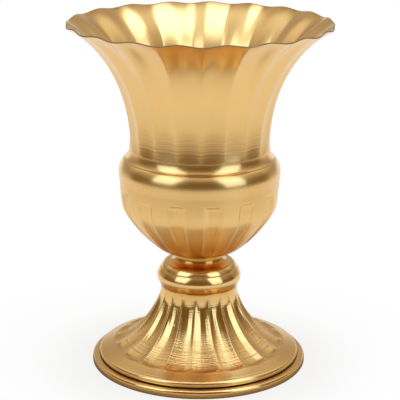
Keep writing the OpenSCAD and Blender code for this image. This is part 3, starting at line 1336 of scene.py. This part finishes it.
@dataclass
class TieHardware:
    """Bolt, nut, washers and seal: the CAD solids with their finishes.

    Attributes:
        zinc: Finish of the metal pieces.
        rubber: Finish of the seal.
        nodes: CAD nodes by the slot that they fill.
    """

    zinc: Plated
    rubber: SealRubber
    nodes: tuple[tuple[Slot, tuple[str, ...]], ...] = (
        (Slot.ZINC, ("tie_bolt", "bowl_washer", "foot_washer", "spring_washer", "hex_nut")),
        (Slot.RUBBER, ("rubber_seal",)),
    )

    def build(self, solids: dict[str, bpy.types.Object]) -> list[bpy.types.Object]:
        """Dresses the CAD solids.

        Args:
            solids: The frame's CAD objects by name.

        Returns:
            The solids, in their order.
        """
        finishes = {Slot.ZINC: self.zinc, Slot.RUBBER: self.rubber}
        dressed = []
        for slot, names in self.nodes:
            material = finishes[slot].build()
            for name in names:
                slots = solids[name].data.materials
                if slots:
                    slots[0] = material
                else:
                    slots.append(material)
                dressed.append(solids[name])
        return dressed


# Studio


@dataclass(frozen=True)
class Softbox:
    """One soft lamp.

    Attributes:
        name: Name of the lamp.
        azimuth: Where it stands, in degrees to the right of the camera's side.
        elevation: Its height above the horizon, in degrees.
        distance: Distance from the vase's middle, in metres.
        width: Width in metres.
        height: Height in metres.
        glow: Brightness of its face, where 1 is white.
        colour: Its cool tint.
        aim: Height of the vase's middle, in metres.
    """

    name: str
    azimuth: float
    elevation: float
    distance: float
    width: float
    height: float
    glow: float
    colour: Tint = (0.72, 1.0, 1.35)
    aim: float = 0.13

    def build(self) -> bpy.types.Object:
        """Hangs the lamp, aimed at the vase's middle.

        Returns:
            The lamp.
        """
        data = bpy.data.lights.new(self.name, "AREA")
        data.shape = "RECTANGLE"
        data.size, data.size_y = self.width, self.height
        data.energy = self.glow * math.pi * self.width * self.height
        data.color = self.colour
        lamp = placed(self.name, data)
        turn, lift = math.radians(self.azimuth), math.radians(self.elevation)
        level = math.cos(lift)
        away = np.array([math.sin(turn) * level, -math.cos(turn) * level, math.sin(lift)])
        lamp.location = (away * self.distance + np.array([0, 0, self.aim])).tolist()
        lamp.rotation_euler = (math.pi / 2 - lift, 0, turn)
        return lamp


@dataclass(frozen=True)
class Viewpoint:
    """The camera, at the photograph's angle and framing.

    Attributes:
        place: Where it stands, in metres.
        pitch: How far it looks down, in radians.
        roll: How far it is turned about its line of sight, in degrees.
        sensor: Width of its sensor, in millimetres.
        lens: Focal length, in millimetres.
        shift: Sideways shift of the picture, as a share of its width.
    """

    place: Point = (0.0, -1.031425, 0.421645)
    pitch: float = 0.283
    roll: float = 0.35
    sensor: float = 36.0
    lens: float = 134.2
    shift: float = 0.0015

    def build(self) -> bpy.types.Object:
        """Sets up the camera that the scene looks through.

        Returns:
            The camera.
        """
        data = bpy.data.cameras.new("camera")
        data.sensor_width = self.sensor
        data.lens = self.lens
        data.shift_x = self.shift
        camera = placed("camera", data)
        tilt = Matrix.Rotation(math.pi / 2 - self.pitch, 4, "X")
        roll = Matrix.Rotation(math.radians(self.roll), 4, "Z")
        camera.matrix_world = Matrix.Translation(self.place) @ tilt @ roll
        bpy.context.scene.camera = camera
        return camera


@dataclass(frozen=True)
class Floor:
    """The pale table top, which the camera sees lifted to white.

    Attributes:
        radius: Radius in metres.
        sides: Number of its sides.
        drop: How far in metres it lies under the ring.
        back: How far in metres behind the vase its light part is centred.
        under: Colour of the painted shadow under and about the foot, linear.
        pale: Colour about the foot.
        outer: Colour of its outer part.
        foot: Distances in metres over which it goes from the painted shadow to pale.
        edge: The same from pale to outer.
        shadow: Distances in metres over which the foot's shadow is lifted to white.
        shadow_lift: Share of white in the shadow at the foot.
        mirrored: Share of white that the metal sees in the pale part.
    """

    radius: float = 0.85
    sides: int = 96
    drop: float = 0.0002
    back: float = 0.2
    under: Tint = (0.3, 0.21, 0.13)
    pale: Tint = (0.99, 0.91, 0.83)
    outer: Tint = (0.2, 0.15, 0.1)
    foot: Span = (0.075, 0.14)
    edge: Span = (0.58, 0.85)
    shadow: Span = (0.08, 0.24)
    shadow_lift: float = 0.88
    mirrored: float = 0.45

    def finish(self) -> bpy.types.Material:
        """Paints the floor, with a painted shadow about the foot and the white that Light Path
        shows over it.

        Returns:
            Its material.
        """
        nodes = Nodes(bpy.data.materials.new("floor_white"))
        shift = nodes.add("Mapping")
        shift.inputs["Location"].default_value = (0, -self.back, 0)
        nodes.link(nodes.place(), shift.inputs["Vector"])
        away = nodes.turning(1.0)
        close = nodes.ranged(away, self.foot, smooth=True)
        far = nodes.ranged(nodes.length(shift.outputs[0]), self.edge)
        paint = nodes.add("BsdfDiffuse")
        # Painted shadow: the floor is darker about the foot, for the metal and, lifted to white,
        # for the camera.
        tone = nodes.mixed(far, nodes.mixed(close, self.under, self.pale), self.outer)
        nodes.link(tone, paint.inputs["Color"])
        fade = nodes.ranged(away, self.shadow, (self.shadow_lift, 1.0))
        middle = nodes.maths("MULTIPLY", nodes.maths("SUBTRACT", close, far), self.mirrored)
        shown = nodes.whitened(paint.outputs[0], "Emission", fade, middle)
        nodes.link(shown, nodes.add("OutputMaterial").inputs[0])
        return nodes.owner

    def build(self) -> bpy.types.Object:
        """Lays the floor.

        Returns:
            The floor.
        """
        turns = [2 * math.pi * side / self.sides for side in range(self.sides)]
        rim = [(math.cos(turn), math.sin(turn)) for turn in turns]
        corners = [(self.radius * x, self.radius * y, -self.drop) for x, y in rim]
        mesh = bpy.data.meshes.new("floor")
        mesh.from_pydata(corners, [], [tuple(range(self.sides))])
        mesh.materials.append(self.finish())
        floor = placed("floor", mesh)
        return floor


@dataclass
class Studio:
    """Pale floor, soft lamps, room light and the camera.

    Attributes:
        lamps: The soft lamps.
        front: Light of the dark room behind the camera.
        side: Light at both sides.
        corner: Light at the far corners.
        back: Light on the far side, where the pale backdrop stands.
        turns: Where the side, the corner and the back take over, as the share of a level
            direction that points away from the camera.
        horizon: Heights of a direction, where 1 is overhead, at which the white that the
            metal sees on the far side is gone and is full.
    """

    lamps: tuple[Softbox, ...] = (
        Softbox("softbox_left", -53, 36, 1.5, 0.9, 1.3, 1.45),
        Softbox("softbox_right", 51, 27, 1.5, 0.85, 1.4, 1.45),
        Softbox("softbox_above", 80, 80, 1.6, 1.2, 1.2, 1.6),
    )
    front: Glow = (
        (-0.3, (0.17, 0.11, 0.04)),
        (0.5, (0.17, 0.11, 0.04)),
        (0.74, (0.26, 0.2, 0.12)),
        (0.84, (0.85, 0.87, 0.9)),
        (1.0, (1.1, 1.25, 1.4)),
    )
    side: Glow = (
        (-0.3, (0.17, 0.11, 0.04)),
        (0.3, (0.2, 0.14, 0.06)),
        (0.6, (0.5, 0.45, 0.37)),
        (0.82, (0.8, 0.8, 0.8)),
        (1.0, (1.1, 1.25, 1.4)),
    )
    corner: Glow = (
        (-0.3, (0.9, 0.88, 0.85)),
        (0.0, (0.5, 0.46, 0.4)),
        (0.25, (0.36, 0.31, 0.24)),
        (0.45, (0.6, 0.57, 0.53)),
        (0.7, (0.95, 0.94, 0.93)),
        (1.0, (1.1, 1.25, 1.4)),
    )
    back: Glow = (
        (-0.3, (1.1, 1.1, 1.1)),
        (0.08, (0.72, 0.7, 0.67)),
        (0.2, (0.5, 0.46, 0.4)),
        (0.68, (0.46, 0.41, 0.34)),
        (0.78, (0.3, 0.2, 0.09)),
        (0.87, (0.28, 0.17, 0.06)),
        (0.94, (1.0, 1.05, 1.1)),
        (1.0, (1.1, 1.25, 1.4)),
    )
    turns: tuple[Span, Span, Span] = ((-0.97, -0.75), (0.2, 0.55), (0.72, 0.93))
    horizon: Span = (0.12, 0.0)

    @staticmethod
    def sky(nodes: Nodes, height: Socket, glow: Glow) -> Socket:
        """Colours a stretch of sky.

        Args:
            nodes: Tree of the room light.
            height: Height of the direction, from -1 to 1.
            glow: Colours by height.

        Returns:
            A socket with the colour.
        """
        ramp = nodes.add("ValToRGB")
        elements = ramp.color_ramp.elements
        while len(elements) < len(glow):
            elements.new(0.5)
        for element, (level, colour) in zip(elements, glow):
            element.position = (level + 1) / 2
            element.color = (*colour, 1)
        nodes.link(nodes.ranged(height, (-1.0, 1.0)), ramp.inputs[0])
        return ramp.outputs[0]

    def room(self) -> None:
        """Lights the room: white to the camera, and a soft studio to the metal."""
        world = bpy.data.worlds.new("studio")
        bpy.context.scene.world = world
        nodes = Nodes(world)
        direction = nodes.add("TexCoord").outputs["Generated"]
        _, ahead, height = nodes.split(direction)
        level = nodes.add("VectorMath", operation="MULTIPLY")
        level.inputs[1].default_value = (1, 1, 0)
        nodes.link(direction, level.inputs[0])
        away = nodes.maths("DIVIDE", ahead, nodes.length(level.outputs[0]))
        colour = self.sky(nodes, height, self.front)
        for glow, turn in zip((self.side, self.corner, self.back), self.turns):
            backdrop = nodes.ranged(away, turn, smooth=True)
            colour = nodes.mixed(backdrop, colour, self.sky(nodes, height, glow))
        # The loop ends with the far side's own share, where the metal sees the white
        low = nodes.maths("MULTIPLY", backdrop, nodes.ranged(height, self.horizon, smooth=True))
        light = nodes.add("Background")
        nodes.link(colour, light.inputs["Color"])
        shown = nodes.whitened(light.outputs[0], "Background", 1.0, low)
        nodes.link(shown, nodes.add("OutputWorld").inputs[0])

    def build(self) -> None:
        """Sets up the floor, the lamps, the room light, the camera and the view."""
        Viewpoint().build()
        Floor().build()
        self.room()
        for lamp in self.lamps:
            lamp.build()
        bpy.context.scene.view_settings.view_transform = "Standard"


def sheet_pieces() -> list[SheetPiece]:
    """Lists the six sheet pieces, each with its own finish.

    Returns:
        The pieces from the top down, not yet built.
    """
    # The recess spans are painted shade: under the bowl, at the neck, at the knob's base and on the
    # foot's crown the colour is darkened.
    flare = {"line_depth": 0.045, "lined": (160, 180), "bright": (222, 260), "gloss": 0.84}
    bowl = {"roughness": 0.29, "bright": (142, 156), "gloss": 0.85, "recess": (70, 101)}
    neck = {"lean": -1.0, "bright": (60, 77), "gloss": 0.72, "recess": (78, 90)}
    knob = {"bright": (50, 80), "gloss": 0.72, "recess": (54, 61)}
    foot = {"lean": -1.0, "lined": (14, 30), "bright": (26, 53), "gloss": 0.6, "recess": (58, 62)}
    pit = (-17.5, -29.2, 36.7)
    return [
        Flare(SatinGold("satin_gold_flare", **flare)),
        Bowl(SatinGold("satin_gold_bowl", recess_fade=9.0, **bowl)),
        UpperKnob(SatinGold("satin_gold_upper_knob", **neck)),
        LowerKnob(SatinGold("satin_gold_lower_knob", **knob)),
        Foot(SatinGold("satin_gold_foot", line_depth=0.35, pit=pit, **foot)),
        BaseRing(SatinGold("satin_gold_ring", lean=-1.0, bright=(-5, 10))),
    ]


def main() -> None:
    """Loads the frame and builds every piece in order."""
    logging.basicConfig(level=logging.INFO, format="%(name)s: %(message)s")
    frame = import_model()
    Studio().build()
    for sheet in sheet_pieces():
        piece = sheet.build()
        LOG.info("%s: %d points", piece.name, len(piece.data.vertices))
    for piece in TieHardware(Plated(), SealRubber()).build(frame["nodes"]):
        LOG.info("%s: dressed with %s", piece.name, piece.data.materials[0].name)


if __name__ == "__main__":
    main()
